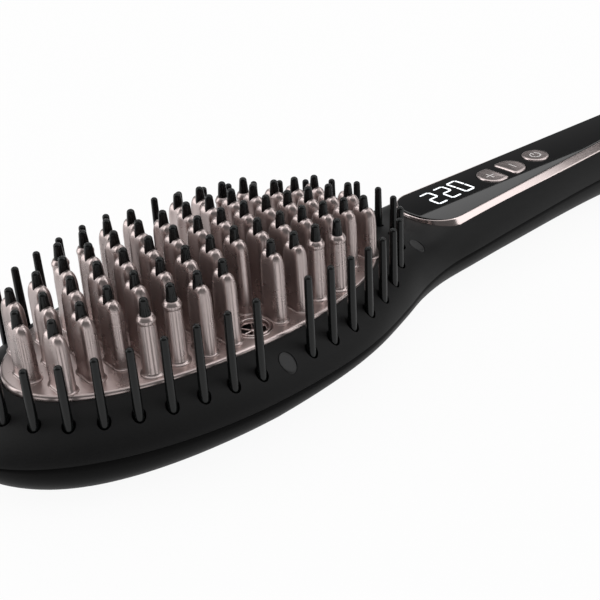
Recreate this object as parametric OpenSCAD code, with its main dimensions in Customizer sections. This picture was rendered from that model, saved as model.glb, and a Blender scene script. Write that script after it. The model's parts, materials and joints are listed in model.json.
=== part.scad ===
// Heated hair straightener brush, lying on its back with the bristles up.
// +X runs from the head to the handle, +Z is up, and Z = 0 is the surface it rests on.
// Inside the modules X = 0 is the middle of the head; the whole brush is then moved so that the
// origin is at the middle of its length.

/* [Head] */
// From the head's middle to its tip
head_tip = 64; // [62:0.5:66]
// Half of the head's width at the seam
head_half_w = 33.5; // [33:0.5:36]
// Height of the seam between the two shells at the head
seam_h = 10.4; // [10:0.1:11]
// Rise of the upper shell over the seam at the head
crown_h = 10.6; // [10:0.1:11]
// Wall of both shells
wall = 2; // [1.6:0.1:2.2]

/* [Heated plate] */
// Half of the plate's length
plate_half_l = 50.3; // [49:0.1:51]
// Half of the plate's width
plate_half_w = 24.5; // [24:0.1:25]
// Height of the plate's top face
plate_top = 20; // [19.5:0.1:20.5]
// Thickness of the plate
plate_t = 3; // [2:0.1:3.5]

/* [Posts and bristles] */
// Distance between posts along a row
post_pitch = 6.5; // [6.3:0.1:6.8]
// Distance between rows of posts
row_pitch = 9.2; // [9:0.1:9.6]
// Height of the tallest cap, at the middle of the head
dome_h = 41.5; // [40:0.5:43]
// Length of a finned post across the head
fin_l = 7.3; // [6.6:0.1:7.6]
// Length of a finned post of the outer rows
fin_outer_l = 6.6; // [6:0.1:7.2]
// Thickness of a finned post
fin_t = 3; // [2.6:0.1:3]
// Radius of a round post's collar
collar_r = 2; // [1.8:0.05:2.2]
// Radius of a bristle cap
cap_r = 1.1; // [1:0.05:1.2]
// Radius of an edge bristle
pin_r = 0.9; // [0.8:0.05:1]
// Half of the length of the oval of edge bristles
ring_half_l = 56; // [55.5:0.1:56.5]
// Half of the width of the oval of edge bristles
ring_half_w = 29.7; // [29.5:0.1:30]
// Stations on that oval; those at its two sides hold screw covers
ring_count = 40; // [40:1:40]

/* [Panel and buttons] */
// Front end of the control panel
panel_front = 67.8; // [67:0.1:69]
// Length of the control panel
panel_l = 104; // [96:1:108]
// Half of the panel's width near its front
panel_half_w = 10.8; // [10:0.1:11]
// Height of the panel's edge at its front end
panel_h = 19.1; // [19:0.1:19.4]
// Angle at which the handle rises towards its end
panel_tilt = 1.6; // [1:0.1:2]
// Travel of a button
button_travel = 0.5; // [0.3:0.1:0.6]

/* [Cord inlet] */
// End of the handle's shells
tail_end = 216; // [212:1:218]
// Radius of the cord's bore in the swivel
cord_r = 3.2; // [2.8:0.1:3.4]
// Height of the swivel's axis
swivel_h = 11.3; // [11:0.1:12]

/* [Hidden] */

rose = [0.60, 0.51, 0.50];
satin_black = [0.08, 0.08, 0.085];
inner_black = [0.16, 0.16, 0.17];
steel = [0.70, 0.70, 0.72];
board_green = [0.10, 0.32, 0.20];
ceramic_white = [0.88, 0.86, 0.82];

bush_out = 12;          // how far the swivel stands out of the handle
mid_x = (tail_end + bush_out - head_tip) / 2;
eps = 0.01;

// ---- outline and section of the two shells ----

widest_x = -4;
head_l = head_tip + widest_x;
oval_power = 2.1;       // the bristle oval and the plate are slightly fuller than ellipses
top_power = 5;
top_root = 1.4;
flat_part = 0.52;       // part of the half width that is flat underneath at the widest place
flat_tip = 0.78;        // the same near the head's tip, where the underside is fullest
flat_reach = 50;        // distance over which it grows from the one to the other
flat_fall = 0.009;      // how fast it shrinks towards the handle

// Stations from the widest place to the tail:
// place, half width, seam height, top height, bottom height
stations = [
    [-4, 33.5, 10.4, 21.0, 0.0],
    [14, 32.5, 10.4, 21.0, 0.0],
    [28, 29.8, 10.4, 21.2, 0.0],
    [42, 24.9, 10.4, 21.0, 0.1],
    [54, 20.0, 10.4, 20.6, 0.2],
    [66, 17.0, 10.6, 18.4, 0.4],
    [80, 16.0, 10.9, 19.3, 0.8],
    [95, 14.9, 11.2, 20.1, 1.0],
    [139, 12.0, 11.6, 21.2, 1.1],
    [175, 12.3, 11.6, 21.4, 0.6],
    [204, 12.2, 11.3, 20.8, 0.0],
    [212, 11.4, 11.3, 20.4, 0.6],
    [216, 10.0, 11.3, 19.7, 2.4]
];
last = len(stations) - 1;

function span_of(x) = max([for (i = [0:last - 1]) if (stations[i][0] <= x || i == 0) i]);
function slope(i, c) = i == 0 ? 0
    : i == last ? (stations[i][c] - stations[i - 1][c]) / (stations[i][0] - stations[i - 1][0])
    : (stations[i + 1][c] - stations[i - 1][c]) / (stations[i + 1][0] - stations[i - 1][0]);
// Smooth curve through one column of the stations
function along(x, c) =
    let (i = span_of(x), d = stations[i + 1][0] - stations[i][0],
         t = (x - stations[i][0]) / d, u = 1 - t)
    stations[i][c] * u * u * (1 + 2 * t) + stations[i + 1][c] * t * t * (3 - 2 * t)
    + slope(i, c) * d * t * u * u - slope(i + 1, c) * d * t * t * u;

// Half width at x, inset by t
function half_w(x, t = 0) = x < widest_x
    ? (head_half_w - t) * sqrt(max(0, 1 - pow((widest_x - x) / (head_l - t), 2)))
    : along(x, 1) - t;
function seam_z(x) = x < widest_x ? seam_h : along(x, 2);
function top_rise(x) = x < widest_x ? crown_h : along(x, 3) - along(x, 2);
function drop(x) = x < widest_x ? seam_h : along(x, 2) - along(x, 4);
// 0 on the middle line and 1 on the seam
function rho(x, y) = x < widest_x
    ? min(1, norm([(widest_x - x) / head_l, y / head_half_w])) : min(1, abs(y) / half_w(x));
function top_shape(r) = pow(max(0, 1 - pow(r, top_power)), 1 / top_root);
function bottom_shape(r, f) = sqrt(max(0, 1 - pow(max(0, r - f) / (1 - f), 2)));
function top_z(x, y) = seam_z(x) + top_rise(x) * top_shape(rho(x, y));
function bottom_z(x, y) = seam_z(x) - drop(x) * bottom_shape(rho(x, y), flat_at(x));
function flat_at(x) =
    let (t = min(1, max(0, (widest_x - x) / flat_reach)))
    x < widest_x ? flat_part + (flat_tip - flat_part) * t * t * (3 - 2 * t)
    : max(0.1, flat_part - flat_fall * (x - widest_x));

head_steps = 16;
body_steps = 38;
side_steps = 16;
// Place along the brush of row i, inset by t near the tip only
function row_x(i, t) = i < head_steps
    ? widest_x - (head_l - t) * cos(max(1.5, 90 * i / head_steps))
    : widest_x + (tail_end - (i == head_steps + body_steps ? t : 0) - widest_x)
        * (i - head_steps) / body_steps;
function row_end(i) = i < head_steps ? sin(max(1.5, 90 * i / head_steps)) : 1;
function row_w(i, t) = i < head_steps ? (head_half_w - t) * row_end(i) : half_w(row_x(i, 0), t);
function row_rho(i, s) = i < head_steps ? norm([sqrt(1 - pow(row_end(i), 2)), row_end(i) * s]) : abs(s);
function rise_at(i, s, up) = i == 0 || abs(s) > 0.9999 ? 0
    : up ? top_shape(row_rho(i, s)) : bottom_shape(row_rho(i, s), flat_at(row_x(i, 0)));
function skin(t, up) = [
    for (i = [0:head_steps + body_steps], j = [0:side_steps])
        let (s = sin(-90 + 180 * j / side_steps), x = row_x(i, t), h = up ? top_rise(x) : drop(x))
        [x, row_w(i, t) * s, seam_z(x) + (up ? 1 : -1) * (h - t) * rise_at(i, s, up)]
];

function tail_face(up, a, b, c) = up ? [a, b, c] : [c, b, a];

// One thin half of the housing as a closed surface: its outside, its inside and its rim
module half_shell(up) {
    n = (head_steps + body_steps + 1) * (side_steps + 1);
    w = side_steps + 1;
    rows = head_steps + body_steps;
    function quad(a, b, c, d) = up ? [[c, b, a], [d, c, a]] : [[a, b, c], [a, c, d]];
    outside = [for (i = [0:rows - 1], j = [0:side_steps - 1])
        each quad(i * w + j, (i + 1) * w + j, (i + 1) * w + j + 1, i * w + j + 1)];
    inside = [for (i = [0:rows - 1], j = [0:side_steps - 1])
        each quad(n + i * w + j, n + i * w + j + 1, n + (i + 1) * w + j + 1, n + (i + 1) * w + j)];
    near_rim = [for (i = [0:rows - 1]) each quad(i * w, n + i * w, n + (i + 1) * w, (i + 1) * w)];
    far_rim = [for (i = [0:rows - 1])
        each quad((i + 1) * w - 1, (i + 2) * w - 1, n + (i + 2) * w - 1, n + (i + 1) * w - 1)];
    tip_rim = [for (j = [0:side_steps - 1]) each quad(j, j + 1, n + j + 1, n + j)];
    end_row = [for (j = [0:side_steps]) rows * w + j];
    end_faces = concat([for (j = [1:side_steps - 1])
            each [tail_face(up, end_row[0], end_row[j], end_row[j + 1]),
                tail_face(!up, n + end_row[0], n + end_row[j], n + end_row[j + 1])]],
        quad(end_row[0], n + end_row[0], n + end_row[side_steps], end_row[side_steps]));
    polyhedron(concat(skin(0, up), skin(wall, up)),
        concat(outside, inside, near_rim, far_rim, tip_rim, end_faces));
}

// ---- plan shapes ----

function oval_point(angle, a, b) =
    let (c = cos(angle), s = sin(angle))
    [a * sign(c) * pow(abs(c), 2 / oval_power), b * sign(s) * pow(abs(s), 2 / oval_power)];
module oval(a, b, steps = 64) {
    polygon([for (k = [0:steps - 1]) oval_point(360 * k / steps, a, b)]);
}

// Places on the bristle oval, equally far apart along it
fine = 360;
oval_fine = [for (k = [0:fine]) oval_point(360 * k / fine, ring_half_l, ring_half_w)];
function running(k, total) = k > fine ? [] : concat([total],
    running(k + 1, total + (k < fine ? norm(oval_fine[k + 1] - oval_fine[k]) : 0)));
oval_length = running(0, 0);
function ring_place(n) =
    let (want = oval_length[fine] * n / ring_count,
         k = min(fine - 1, max([for (i = [0:fine]) if (oval_length[i] <= want + eps) i])),
         f = (want - oval_length[k]) / (oval_length[k + 1] - oval_length[k]))
    oval_fine[k] + (oval_fine[k + 1] - oval_fine[k]) * f;
ring_places = [for (n = [0:ring_count - 1]) ring_place(n)];
quarter = ring_count / 4;
function is_cover(n) = n == quarter || n == 3 * quarter;
pin_places = [for (n = [0:ring_count - 1]) if (!is_cover(n)) ring_places[n]];

neck_cover = [56.4, 13.6];
cover_places = [[0, ring_half_w], [0, -ring_half_w], neck_cover, [neck_cover[0], -neck_cover[1]]];
cover_r = 2.2;
// Tilt of a cover, so that it lies in the shell's surface
function cover_tilt(p) =
    let (d = 0.5, gx = (top_z(p[0] + d, p[1]) - top_z(p[0] - d, p[1])) / (2 * d),
         gy = (top_z(p[0], p[1] + d) - top_z(p[0], p[1] - d)) / (2 * d))
    [atan(gy), -atan(gx), 0];

// Height of an edge bristle's tip
function pin_tip(x) = max(x > 0 ? 31.1 : 29, 34.9 - 5 * pow(abs(x) / 52, 1.6));
// Height of a cap's tip over a post
function cap_tip(x, y) = dome_h - x * x / 353 - y * y / 172;

// Rows of posts: 15 in the middle row, 14 in the next two, 8 in the outer two, which leave
// their middle place to the ion outlets
outer_row_y = 17.9;
fin_places = concat(
    [for (c = [-7:7]) [c * post_pitch, 0]],
    [for (side = [-1, 1], c = [-6.5:6.5]) [c * post_pitch, side * row_pitch]],
    [for (side = [-1, 1], c = [-2, -1, 1, 2]) [c * post_pitch, side * outer_row_y]]);
round_places = [for (side = [-1, 1], c = [-4, -3, 3, 4]) [c * post_pitch, side * (outer_row_y - 0.3)]];
outlet_places = [[0, outer_row_y], [0, -outer_row_y]];

cap_out = 4.7;          // how far a cap stands out of a finned post's notch
cap_in = 3;             // how far it goes in under the notch
fin_lobe = 1.5;         // how far the shoulders rise over the notch
collar_drop = 3.9;      // how far a round post's collar lies under the cap's tip

module at_places(places) {
    for (p = places) translate([p[0], p[1], 0]) children();
}

// ---- control panel's own frame: front end of its edge, tilted with the handle ----

module panel_frame() {
    translate([panel_front, 0, panel_h]) rotate([0, -panel_tilt, 0]) children();
}
panel_taper = 0.047;
panel_round = 9;
panel_crown = 0.6;
trim_out = 1.1;
trim_widen = 0.01;      // how much the trim's bevel widens towards the handle's end, per mm
trim_drop = 1.7;
seat_t = 1.7;           // thickness of the shell's seat under the panel and its trim
ledge = 2.4;            // width of that seat under the panel
plate_gap = 0.25;
// Half width of an outline that starts at s0 with half width w and tapers by k, at s
function taper_w(s, s0, s1, w, k) =
    let (f = max(0, (s0 + panel_round - s) / panel_round), r = max(0, (s - s1 + panel_round) / panel_round))
    (w - k * s) * sqrt(max(0, 1 - f * f)) * sqrt(max(0, 1 - r * r));
module taper_outline(s0, s1, w, k) {
    steps = 12;
    ends = [for (i = [0:steps]) s0 + panel_round * (1 - cos(90 * i / steps))];
    rear = [for (i = [0:steps]) s1 - panel_round * (1 - cos(90 * (steps - i) / steps))];
    side = concat(ends, rear);
    polygon(concat([for (s = side) [s, taper_w(s, s0, s1, w, k)]],
        [for (i = [len(side) - 2:-1:1]) [side[i], -taper_w(side[i], s0, s1, w, k)]]));
}
module panel_outline(inset = 0) {
    taper_outline(inset, panel_l - inset, panel_half_w - inset, panel_taper);
}
module trim_outline(grow = 0) {
    taper_outline(-0.6 - grow, panel_l + 0.8 + grow, panel_half_w + trim_out + grow, panel_taper - trim_widen);
}

// Buttons: middle of each along the panel
plus_s = 32.85;
minus_s = 42.75;
power_s = 53.3;
d_depth = 6.8;
d_half_w = 4.6;
d_arc_r = 4.8;
power_r = 4;
button_gap = 0.2;
button_proud = 0.35;
// A round end and a flat side; the flat faces +X where turned is 1 and -X where it is -1
module d_shape(turned, grow = 0) {
    offset_x = turned * (d_depth / 2);
    intersection() {
        translate([offset_x - turned * (d_depth - d_arc_r), 0]) circle(r = d_arc_r + grow, $fn = 64);
        translate([-d_depth / 2 - grow, -d_half_w - grow]) square([d_depth + 2 * grow, 2 * (d_half_w + grow)]);
    }
}
module button_shape(kind, grow = 0) {
    if (kind == "plus") d_shape(1, grow);
    if (kind == "minus") d_shape(-1, grow);
    if (kind == "power") circle(r = power_r + grow, $fn = 64);
}
kinds = [["plus", plus_s], ["minus", minus_s], ["power", power_s]];

// ---- shells ----

boss_r = 3.3;
boss_reach = 31.8;      // the bosses at the head's sides run into the wall, and end here
screw_r = 1.1;
boss_top = 1.4;
// Height of the screw's head seat under the shell's surface
function seat_z(p) = top_z(p[0], p[1]) - 4.2;
function boss_low(p) = bottom_z(p[0], min(abs(p[1]) + boss_r, boss_reach)) + 0.3;
function screw_low(p) = boss_low(p) + 0.8;

module screw_bosses(up) {
    intersection() {
        for (p = cover_places) let (z0 = up ? seam_z(p[0]) : boss_low(p), z1 = up ? seat_z(p) + boss_top : seam_z(p[0]))
            translate([p[0], p[1], z0]) cylinder(r = boss_r, h = z1 - z0, $fn = 40);
        translate([-head_tip, -boss_reach, 0]) cube([140, 2 * boss_reach, 18]);
    }
}

tail_bore = 7;
collar_l = 9;
module tail_opening() {
    translate([tail_end - collar_l, 0, swivel_h]) rotate([0, 90, 0]) cylinder(r = tail_bore, h = collar_l + 3, $fn = 64);
}

module upper_shell() color(satin_black) difference() {
    union() {
        half_shell(true);
        screw_bosses(true);
        panel_frame() translate([0, 0, -trim_drop - seat_t]) linear_extrude(seat_t) trim_outline(-0.3);
    }
    translate([0, 0, seam_h - 1]) linear_extrude(14) oval(plate_half_l + plate_gap, plate_half_w + plate_gap);
    at_places(pin_places) translate([0, 0, seam_h - 2]) cylinder(r = 1.3, h = 14, $fn = 32);
    for (p = cover_places) translate([p[0], p[1], 0]) {
        translate([0, 0, seat_z(p)]) cylinder(r = cover_r + 0.05, h = 8, $fn = 40);
        translate([0, 0, seam_h - 3]) cylinder(r = screw_r + 0.15, h = 12, $fn = 32);
    }
    panel_frame() {
        translate([0, 0, -trim_drop]) linear_extrude(6) trim_outline(0.1);
        translate([0, 0, -9]) linear_extrude(8) panel_outline(ledge);
    }
    tail_opening();
}

module lower_shell() color(satin_black) difference() {
    union() {
        half_shell(false);
        screw_bosses(false);
        for (x = [-34, 34], side = [-1, 1]) translate([x, side * 12, 1.5]) cylinder(r = 2.5, h = tray_floor - 1.5, $fn = 40);
        for (x = [132, 182], side = [-1, 1]) translate([x, side * 4, 2.8]) cylinder(r = 1.5, h = power_h - 2.8, $fn = 40);
    }
    for (p = cover_places) translate([p[0], p[1], screw_low(p)]) cylinder(r = screw_r, h = 12, $fn = 32);
    tail_opening();
}

// ---- heated plate and posts ----

outlet_r = 4.3;
// Inset and height of each step of the plate's rounded edge
lip = [[0, -0.9], [0.12, -0.45], [0.35, -0.15], [0.7, 0]];
clamp_screw_xs = [-26, 4, 28];
clamp_screw_r = 1.2;
clamp_screw_in = 1.8;
module heating_plate() color(rose) difference() {
    for (l = lip) translate([0, 0, plate_top - plate_t])
        linear_extrude(plate_t + l[1]) oval(plate_half_l - l[0], plate_half_w - l[0]);
    at_places(outlet_places) translate([0, 0, plate_top - plate_t - 1]) cylinder(r = outlet_r, h = plate_t + 2, $fn = 64);
    for (x = clamp_screw_xs) translate([x, 0, plate_top - plate_t - 1])
        cylinder(r = clamp_screw_r, h = 1 + clamp_screw_in, $fn = 32);
}

module stadium(l, t) {
    half = (l - t) / 2;
    translate([-t / 2, -half]) square([t, 2 * half]);
    for (side = [-1, 1]) translate([0, side * half]) circle(d = t, $fn = 32);
}

// Side view of a finned post of height h: two rounded shoulders with the cap's notch between them
module fin_profile(h, l) {
    notch = cap_r - 0.2;
    lobe_r = (l / 2 - notch) / 2;
    difference() {
        union() {
            translate([-fin_l, 0]) square([2 * fin_l, h - lobe_r]);
            for (side = [-1, 1]) translate([side * (l / 2 - lobe_r), h - lobe_r]) circle(r = lobe_r, $fn = 32);
        }
        translate([-notch, h - fin_lobe]) square([2 * notch, fin_lobe + 1]);
    }
}

module finned_post(h, l) {
    linear_extrude(0.5) stadium(l + 1, fin_t + 1);
    intersection() {
        linear_extrude(h + 1) stadium(l, fin_t);
        translate([fin_t, 0, 0]) rotate([90, 0, -90]) linear_extrude(2 * fin_t) fin_profile(h, l);
    }
}

module cap_seat(tip) {
    translate([0, 0, tip - cap_out - cap_in]) cylinder(r = cap_r, h = 12, $fn = 32);
}

module finned_posts() color(rose) for (p = fin_places)
    let (tip = cap_tip(p[0], p[1]) - plate_top)
    translate([p[0], p[1], plate_top]) difference() {
        finned_post(tip - cap_out + fin_lobe, abs(p[1]) > outer_row_y - 1 ? fin_outer_l : fin_l);
        cap_seat(tip);
    }

// A round post with a chamfered collar round its cap
module round_posts() color(rose) for (p = round_places)
    let (tip = cap_tip(p[0], p[1]) - plate_top, h = tip - collar_drop, r = collar_r)
    translate([p[0], p[1], plate_top]) difference() {
        rotate_extrude($fn = 48) polygon([
            [0, 0], [r + 0.7, 0], [r + 0.7, 0.3], [r + 0.1, 0.8], [r - 0.15, h - 1.9],
            [r, h - 1.6], [r, h - 0.9], [r - 0.4, h], [0, h]]);
        cap_seat(tip);
    }

module bristle_cap(l) {
    round_r = 0.85;
    rotate_extrude($fn = 32) polygon(concat([[0, 0], [cap_r, 0]],
        [for (a = [0:22.5:90]) [cap_r - round_r + round_r * cos(a), l - round_r + round_r * sin(a)]],
        [[0, l]]));
}
module bristle_caps() color(satin_black) for (p = concat(fin_places, round_places))
    translate([p[0], p[1], cap_tip(p[0], p[1]) - cap_out - cap_in]) bristle_cap(cap_out + cap_in);

strip_top = 11;
module edge_bristles() color(satin_black) for (p = pin_places)
    let (l = pin_tip(p[0]) - strip_top)
    translate([p[0], p[1], strip_top]) union() {
        cylinder(r = pin_r, h = l - pin_r, $fn = 32);
        translate([0, 0, l - pin_r]) sphere(r = pin_r, $fn = 32);
    }

// Two strips under the frame carry the edge bristles
strip_w = 1.1;
strip_t = 1.4;
module bristle_strips() color(inner_black) difference() {
    translate([0, 0, strip_top - strip_t]) linear_extrude(strip_t) difference() {
        oval(ring_half_l + strip_w, ring_half_w + strip_w, 96);
        oval(ring_half_l - strip_w, ring_half_w - strip_w, 96);
    }
    for (side = [-1, 1]) translate([0, side * ring_half_w, 0]) cylinder(r = boss_r + 0.4, h = 20, $fn = 40);
}

// ---- under the plate ----

plate_low = plate_top - plate_t;
tray_floor = 10.8;
module plate_tray() color(inner_black) difference() {
    translate([0, 0, tray_floor]) linear_extrude(plate_low - tray_floor) oval(plate_half_l - 0.4, plate_half_w - 0.4);
    translate([0, 0, tray_floor + 1.4]) linear_extrude(12) oval(plate_half_l - 2.4, plate_half_w - 2.4);
    at_places(outlet_places) translate([0, 0, tray_floor - 1]) cylinder(r = tube_r + 0.1, h = 12, $fn = 48);
    translate([36, -6, tray_floor - 1]) cube([10, 12, 12]);
}

heater_l = 62;
heater_w = 11;
heater_t = 2;
heater_y = 8;
sheet_t = 0.5;
clamp_t = 1;
clamp_half_w = heater_y + heater_w / 2 + 0.3;
module heater_elements() color(ceramic_white) for (side = [-1, 1])
    translate([-heater_l / 2, side * heater_y - heater_w / 2, plate_low - heater_t]) cube([heater_l, heater_w, heater_t]);

// A flat strip under both heaters with the clamp screws' holes
module under_heaters(l, top, t) {
    difference() {
        translate([-l / 2, -clamp_half_w, top - t]) cube([l, 2 * clamp_half_w, t]);
        for (x = clamp_screw_xs) translate([x, 0, top - t - 1]) cylinder(r = clamp_screw_r + 0.1, h = t + 2, $fn = 32);
    }
}
module heater_insulation() color([0.72, 0.60, 0.38]) under_heaters(heater_l + 4, plate_low - heater_t, sheet_t);
clamp_top = plate_low - heater_t - sheet_t;
module heater_clamp() color(steel) under_heaters(heater_l, clamp_top, clamp_t);

module clamp_screws() color(steel) for (x = clamp_screw_xs) translate([x, 0, clamp_top - clamp_t]) {
    cylinder(r = clamp_screw_r, h = clamp_t + sheet_t + heater_t + clamp_screw_in, $fn = 32);
    translate([0, 0, -1]) difference() {
        cylinder(r = 2.4, h = 1, $fn = 40);
        for (a = [0, 90]) rotate(a) translate([-1.4, -0.25, -1]) cube([2.8, 0.5, 1.5]);
    }
}

sensor_r = 1;
module thermistor() color([0.85, 0.55, 0.2])
    translate([-14, 0, plate_low - sensor_r]) rotate([0, 90, 0]) cylinder(r = sensor_r, h = 8, $fn = 32);

module thermal_fuse() color(steel)
    translate([10, 0, plate_low - sensor_r]) rotate([0, 90, 0]) cylinder(r = sensor_r, h = 12, $fn = 32);

// ---- ion outlets ----

grille_r = 3.4;
grille_frame = 0.4;
tube_r = grille_r + 0.4;    // the tube carries both the ring and the grille
ring_edge = 0.25;
outlet_low = plate_top - 1.4;
module outlet_rings() color(rose) at_places(outlet_places) translate([0, 0, outlet_low]) rotate_extrude($fn = 64)
    polygon([[grille_r, 0], [outlet_r, 0], [outlet_r, 1.5], [outlet_r - ring_edge, 1.9],
        [grille_r + ring_edge, 1.9], [grille_r, 1.5]]);

module outlet_grilles() color(satin_black) at_places(outlet_places) translate([0, 0, outlet_low]) {
    bar_l = 2 * (grille_r - grille_frame / 2);
    difference() {
        cylinder(r = grille_r, h = 0.8, $fn = 48);
        translate([0, 0, -1]) cylinder(r = grille_r - grille_frame, h = 3, $fn = 48);
    }
    for (a = [0:60:120]) rotate(a) translate([-bar_l / 2, -0.2, 0]) cube([bar_l, 0.4, 0.8]);
}

module ion_tubes() color(inner_black) at_places(outlet_places) translate([0, 0, tray_floor]) difference() {
    cylinder(r = tube_r, h = outlet_low - tray_floor, $fn = 48);
    translate([0, 0, 1]) cylinder(r = tube_r - 0.8, h = 20, $fn = 48);
}

module ion_needles() color(steel) at_places(outlet_places) translate([0, 0, tray_floor + 1]) {
    cylinder(r = 0.4, h = 3.5, $fn = 24);
    translate([0, 0, 3.5]) cylinder(r1 = 0.4, r2 = 0.05, h = 2, $fn = 24);
}

generator = [34, 18, 7];
generator_low = 2.05;
module ion_generator() color([0.12, 0.13, 0.2])
    translate([-26, -generator[1] / 2, generator_low]) cube(generator);

// High-voltage leads from the generator's sides to the needles' tubes
lead_z = 7.5;
module ion_leads() color([0.9, 0.9, 0.92]) for (side = [-1, 1]) translate([0, side * outer_row_y, 0]) {
    translate([0, 0, lead_z]) rotate([side * 90, 0, 0]) cylinder(r = 0.7, h = outer_row_y - generator[1] / 2, $fn = 24);
    translate([0, 0, lead_z]) sphere(r = 0.7, $fn = 24);
    translate([0, 0, lead_z]) cylinder(r = 0.7, h = tray_floor - lead_z, $fn = 24);
}

// ---- fasteners ----

module screw_covers() color([0.25, 0.25, 0.26]) for (p = cover_places) intersection() {
    translate([p[0], p[1], seat_z(p) + 2.2]) cylinder(r = cover_r, h = 6, $fn = 40);
    translate([p[0], p[1], top_z(p[0], p[1])]) rotate(cover_tilt(p)) translate([-5, -5, -6]) cube([10, 10, 5.95]);
}

module housing_screws() color(steel) for (p = cover_places) translate([p[0], p[1], 0]) {
    translate([0, 0, screw_low(p)]) cylinder(r = screw_r, h = seat_z(p) - screw_low(p), $fn = 32);
    translate([0, 0, seat_z(p)]) difference() {
        cylinder(r = 2, h = 1.4, $fn = 40);
        for (a = [0, 90]) rotate(a) translate([-1.2, -0.25, 0.6]) cube([2.4, 0.5, 2]);
    }
}

// ---- control panel ----

module trim_ring() color(rose) panel_frame() difference() {
    hull() {
        translate([0, 0, -trim_drop]) linear_extrude(0.1) trim_outline();
        translate([0, 0, -0.1]) linear_extrude(0.1) panel_outline(-0.1);
    }
    translate([0, 0, -5]) linear_extrude(6) panel_outline(0.1);
}

crown_r = (panel_half_w * panel_half_w + panel_crown * panel_crown) / (2 * panel_crown);
module crowned(proud) {
    translate([-10, 0, panel_crown + proud - crown_r]) rotate([0, 90, 0]) cylinder(r = crown_r, h = panel_l + 20, $fn = 720);
}

digit_l = 8.2;
digit_w = 4;
digit_step = 5.5;
digit_s = 9.5;
digit_y = 2.1;
stroke = 0.8;
digit_t = 1.4;
module control_panel() color([0.02, 0.02, 0.022]) panel_frame() difference() {
    intersection() {
        translate([0, 0, -trim_drop]) linear_extrude(4) panel_outline(0.1);
        crowned(0);
    }
    for (k = kinds) translate([k[1], 0, -4]) linear_extrude(7) button_shape(k[0], button_gap);
    for (d = [0:2], seg = segments_on[d]) translate([digit_s + d * digit_step, digit_y, panel_crown - digit_t])
        linear_extrude(2) segment(seg);
}

// Seven-segment digits: 0 top, 1 upper right, 2 lower right, 3 bottom, 4 lower left, 5 upper left, 6 middle
segments_on = [[0, 1, 6, 4, 3], [0, 1, 6, 4, 3], [0, 1, 2, 3, 4, 5]];
module segment(k) {
    w = digit_w;
    l = digit_l;
    g = 0.12;
    if (k == 0) translate([g, l / 2 - stroke]) square([w - 2 * g, stroke]);
    if (k == 3) translate([g, -l / 2]) square([w - 2 * g, stroke]);
    if (k == 6) translate([g, -stroke / 2]) square([w - 2 * g, stroke]);
    for (v = [[1, 1, 1], [2, 1, -1], [4, 0, -1], [5, 0, 1]]) if (k == v[0])
        translate([v[1] * (w - stroke), v[2] > 0 ? stroke / 2 + g : -l / 2 + stroke + g])
            square([stroke, l / 2 - 1.5 * stroke - 2 * g]);
}
module display_digits() color("white") panel_frame() intersection() {
    for (d = [0:2], seg = segments_on[d]) translate([digit_s + d * digit_step, digit_y, panel_crown - digit_t])
        linear_extrude(2) segment(seg);
    crowned(0.03);
}

board_top = -5.4;
board_t = 1.4;
board_half_w = 5.8;
module display_module() color(inner_black) panel_frame()
    translate([digit_s - 1.5, -5.5, board_top]) cube([20, 12.3, -trim_drop - 0.05 - board_top]);

module control_board() color(board_green) panel_frame()
    translate([6, -board_half_w, board_top - board_t]) cube([58, 2 * board_half_w, board_t]);

// Tray under the control board, hung from the panel's seat by four posts
carrier_t = 2;
carrier_top = board_top - board_t;
module board_carrier() color(inner_black) panel_frame() {
    difference() {
        translate([5, -9.5, carrier_top - carrier_t]) cube([60, 19, carrier_t]);
        translate([9, -4.8, carrier_top - carrier_t - 1]) cube([52, 9.6, carrier_t + 2]);
    }
    for (s = [12, 58], side = [-1, 1])
        translate([s, side * (panel_half_w - panel_taper * s - ledge / 2), carrier_top - eps])
            cylinder(r = 0.9, h = -trim_drop - seat_t - carrier_top + eps, $fn = 24);
}

flange_top = -trim_drop - 0.05;
flange_t = 0.8;
switch_top = flange_top - flange_t - button_travel - 0.05;
module tact_switches() color(steel) panel_frame() for (k = kinds) translate([k[1], 0, board_top]) {
    translate([-2.2, -2.2, 0]) cube([4.4, 4.4, switch_top - board_top - 0.5]);
    cylinder(r = 1.2, h = switch_top - board_top, $fn = 32);
}

flange_out = 0.7;
module button(kind, s) panel_frame() translate([s, 0, 0]) {
    intersection() {
        translate([0, 0, flange_top - flange_t]) linear_extrude(5) button_shape(kind);
        translate([-s, 0, 0]) crowned(button_proud);
    }
    translate([0, 0, flange_top - flange_t]) linear_extrude(flange_t) button_shape(kind, flange_out);
}
module plus_button() color(rose) button("plus", plus_s);
module minus_button() color(rose) button("minus", minus_s);
module power_button() color(rose) button("power", power_s);

// ---- power electronics in the handle ----

power_h = 7;
power_start = 128;
power_t = 1.5;
module power_board() color(board_green) translate([power_start, -7, power_h]) cube([58, 14, power_t]);

module board_parts() color([0.2, 0.2, 0.22]) translate([power_start, 0, power_h + power_t]) {
    translate([12, -1, 3]) rotate([0, 90, 0]) cylinder(r = 3, h = 12, $fn = 48);
    translate([28, -5, 0]) cube([9, 10, 5]);
    translate([41, -4, 0]) cube([4, 8, 7]);
    translate([49, -5, 0]) cube([7, 10, 4.5]);
}

// Two wires from the power board up to the heaters' ends
wire_r = 0.9;
wire_bend_x = 41;
wire_y = 3.6;
module heater_wires() color([0.7, 0.12, 0.1]) for (side = [-1, 1]) translate([wire_bend_x, side * wire_y, power_h]) {
    rise = plate_low - heater_t / 2 - power_h;
    rotate([0, 90, 0]) cylinder(r = wire_r, h = power_start - wire_bend_x, $fn = 24);
    sphere(r = wire_r, $fn = 24);
    cylinder(r = wire_r, h = rise, $fn = 24);
    translate([0, 0, rise]) sphere(r = wire_r, $fn = 24);
    translate([0, 0, rise]) rotate([0, -90, 0]) cylinder(r = wire_r, h = wire_bend_x - heater_l / 2, $fn = 24);
}

// ---- cord inlet ----

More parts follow.
